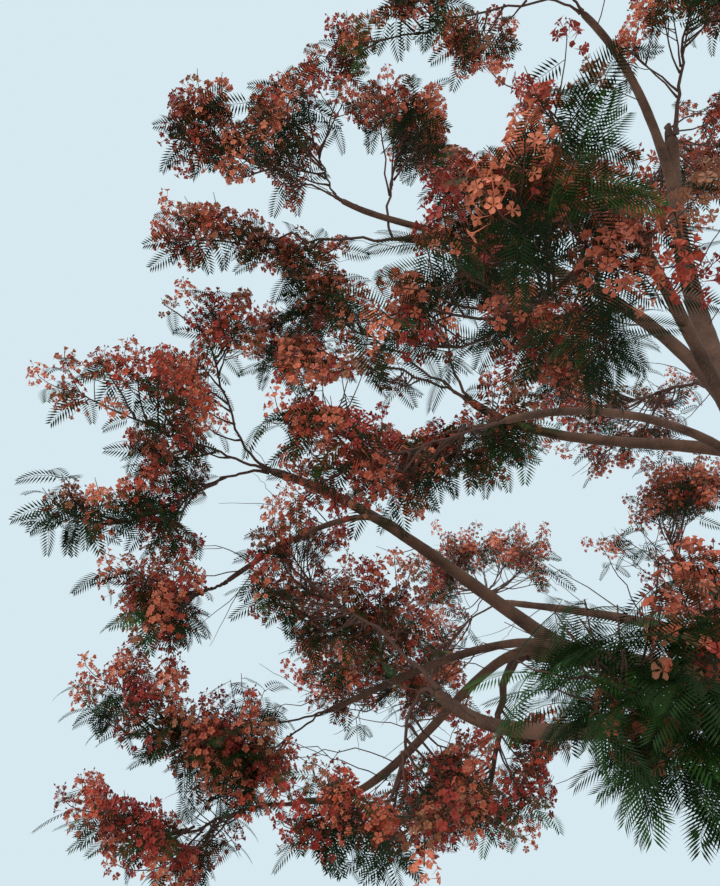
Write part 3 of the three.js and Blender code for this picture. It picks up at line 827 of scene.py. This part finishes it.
# The trunk and boughs, with collars where they spring and the swell of old knots
def limb(line, rings, sides, radius_at, level=False):
    """A tube of bmesh rings along a line, square to it or level. radius_at takes a share, an angle,
    the place on the line and the way out from it."""
    shares = np.linspace(0, 1, rings)
    if not level:
        shares = np.concatenate([shares[:-1], 1 + (shares[-2] - 1) * np.array([0.6, 0.35, 0.18, 0.06, 0])])
    path = along(line, shares)
    runs = np.tile(UP, (len(shares), 1)) if level else unit(np.gradient(path, axis=0))
    bm = bmesh.new()
    bmesh.ops.create_circle(bm, segments=sides, radius=1, cap_ends=True)
    bmesh.ops.reverse_faces(bm, faces=bm.faces[:])
    angles = [math.atan2(v.co.y, v.co.x) for v in bm.verts]
    across = unit(np.cross([0.0, 1.0, 0.0], runs[0]))
    loop = list(bm.edges)
    ring = list(bm.verts)
    for k in range(len(shares)):
        if k:
            made = bmesh.ops.extrude_edge_only(bm, edges=loop)["geom"]
            ring = [g for g in made if isinstance(g, bmesh.types.BMVert)]
            loop = [g for g in made if isinstance(g, bmesh.types.BMEdge) and set(g.verts) <= set(ring)]
        across = unit(across - (across @ runs[k]) * runs[k])
        up = np.cross(runs[k], across)
        for vert, angle in zip(ring, angles):
            out = across * math.cos(angle) + up * math.sin(angle)
            vert.co = path[k] + out * radius_at(shares[k], angle, path[k], out)
    bmesh.ops.holes_fill(bm, edges=loop, sides=sides)
    return bm


def ripple(point, scale, depth):
    return depth * noise.noise(Vector(point) * scale)


def trunk_radius(share, angle, middle, out):
    height = middle[2]
    waist, swell = smoothstep(height, 0, WAIST_HEIGHT), smoothstep(height, WAIST_HEIGHT, FORK[2])
    body = TRUNK_RADII["foot"] + (TRUNK_RADII["waist"] - TRUNK_RADII["foot"]) * waist
    body += swell * (TRUNK_RADII["fork"] - TRUNK_RADII["waist"])
    if height > FORK[2]:
        body *= 1 - TOP_NARROWS * ((height - FORK[2]) / (TRUNK_LINE[-1][2] - FORK[2])) ** 2
    lobe = (0.5 + 0.5 * math.cos(LOBES["count"] * angle)) ** LOBES["sharp"]
    lobe = LOBES["between"] + (1 - LOBES["between"]) * lobe
    flare = math.exp(-height / LOBES["height"]) * LOBES["reach"] * lobe
    folds = FOLDS["depth"] * math.cos(LOBES["count"] * angle + FOLDS["twist"] * height)
    folds *= math.exp(-height / FOLDS["height"])
    at = middle + out * body
    coarse, fine = RIPPLES["trunk"]
    return body + flare + folds + ripple(at, *coarse) + ripple(at * (1, 1, 0.5), *fine)


def bough_radius(name):
    root_radius, tip_radius = BOUGHS[name][4]
    length = np.linalg.norm(lines[name][-1] - lines[name][0])
    (coarse, coarse_depth), (fine, fine_depth) = RIPPLES["bough"]

    def radius_at(share, angle, middle, out):
        radius = root_radius + (tip_radius - root_radius) * share
        before_tip = max(1 - (1 - share) * length / (ROUND_TIP["length"] * tip_radius), 0)
        radius *= math.sqrt(1 - ROUND_TIP["narrows"] * before_tip**2)
        collar = COLLAR["swell"] * math.exp(-share * length / (COLLAR["reach"] * root_radius))
        at = middle + out * radius
        ripples = ripple(at, coarse, coarse_depth * radius), ripple(at, fine, fine_depth * radius)
        return radius * (1 + collar) + ripples[0] + ripples[1]

    return radius_at


def finish_limb(name, bm, replaced):
    mesh = bpy.data.meshes.new(name)
    bm.normal_update()
    bm.to_mesh(mesh)
    bm.free()
    mesh.polygons.foreach_set("use_smooth", [True] * len(mesh.polygons))
    mesh.materials.append(bark_finish)
    piece = bpy.data.objects.new(name, mesh)
    bpy.context.scene.collection.objects.link(piece)
    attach(piece, "root")
    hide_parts(replaced)


trunk_tube = limb(TRUNK_LINE, TRUNK_MESH["rings"], TRUNK_MESH["sides"], trunk_radius, level=True)
finish_limb("trunk_bark", trunk_tube, "trunk")
for name in BOUGHS:
    rings = round(np.linalg.norm(lines[name][-1] - lines[name][0]) / BOUGH_MESH["ring_step"])
    sides = BOUGH_MESH["sides" if BOUGHS[name][4][0] > BOUGH_MESH["stout"] else "thin_sides"]
    finish_limb(name + "_bark", limb(lines[name], rings, sides, bough_radius(name)), name)


# The joined pieces of twigs, leaves and bloom
MOST_TRIANGLES = 190000


def add_foliage(name, parts, finish, smooth=False):
    """Joins parts into as many pieces as keep each under the most triangles it may have."""
    batch, size, number = [], 0, 1
    for part in parts + [None]:
        if part is None or size + len(part[1]) > MOST_TRIANGLES:
            piece = joined(f"{name}_{number}", *together(batch), finishes[finish], smooth)
            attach(piece, "root")
            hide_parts(*MASSES)
            batch, size, number = [], 0, number + 1
        if part is not None:
            batch.append(part)
            size += len(part[1])


for kind, (_, _, sides) in TWIG_TUBES.items():
    paths = np.array([path for path, _ in twig_paths[kind]])
    radii = np.array([radius for _, radius in twig_paths[kind]])
    add_foliage("twigs_" + kind, [tubes(paths, radii, sides)], "twig", True)
add_foliage("flower_buds", buds, "bud")
for tone in PETAL_TONES:
    add_foliage(tone, petals[tone], tone)
for tone in LEAF_TONES:
    add_foliage(tone, leaves[tone], tone)


# The floor, the light and the camera
def soft_sun(name, position, strength, angle, colour):
    """A wide even light from afar that shines past the trunk's foot, as a big soft box would."""
    light = bpy.data.lights.new(name, "SUN")
    light.energy, light.angle, light.color = strength, math.radians(angle), linear(colour)[:3]
    lamp = bpy.data.objects.new(name, light)
    lamp.location = position
    lamp.rotation_euler = (-Vector(position)).to_track_quat("-Z", "Y").to_euler()
    bpy.context.scene.collection.objects.link(lamp)


bm = bmesh.new()
bmesh.ops.create_circle(bm, cap_ends=True, segments=96, radius=200)
floor_mesh = bpy.data.meshes.new("floor")
bm.to_mesh(floor_mesh)
bm.free()
floor_mesh.materials.append(plain("floor_matt_paint", "#DAD9D4", 0.9))
floor = bpy.data.objects.new("floor", floor_mesh)
bpy.context.scene.collection.objects.link(floor)

world = bpy.data.worlds.new("studio")
world.use_nodes = True
world.node_tree.nodes["Background"].inputs["Color"].default_value = linear("#DCEEF6")
world.node_tree.nodes["Background"].inputs["Strength"].default_value = 0.95
bpy.context.scene.world = world
soft_sun("key", (-12, -14, 15), 1.3, 35, "#FFF4E6")
soft_sun("fill", (14, -6, 10), 0.4, 60, "#FFFFFF")
bpy.context.scene.view_settings.view_transform = "Standard"

camera_data = bpy.data.cameras.new("camera")
camera_data.sensor_width = 36
camera_data.lens = FOCAL_PIXELS / FRAME_HEIGHT * 36
camera_data.clip_end = 600
camera = bpy.data.objects.new("camera", camera_data)
camera.location = CAMERA_PLACE
camera.rotation_euler = (math.radians(90 + CAMERA_PITCH), 0, 0)
bpy.context.scene.collection.objects.link(camera)
bpy.context.scene.camera = camera
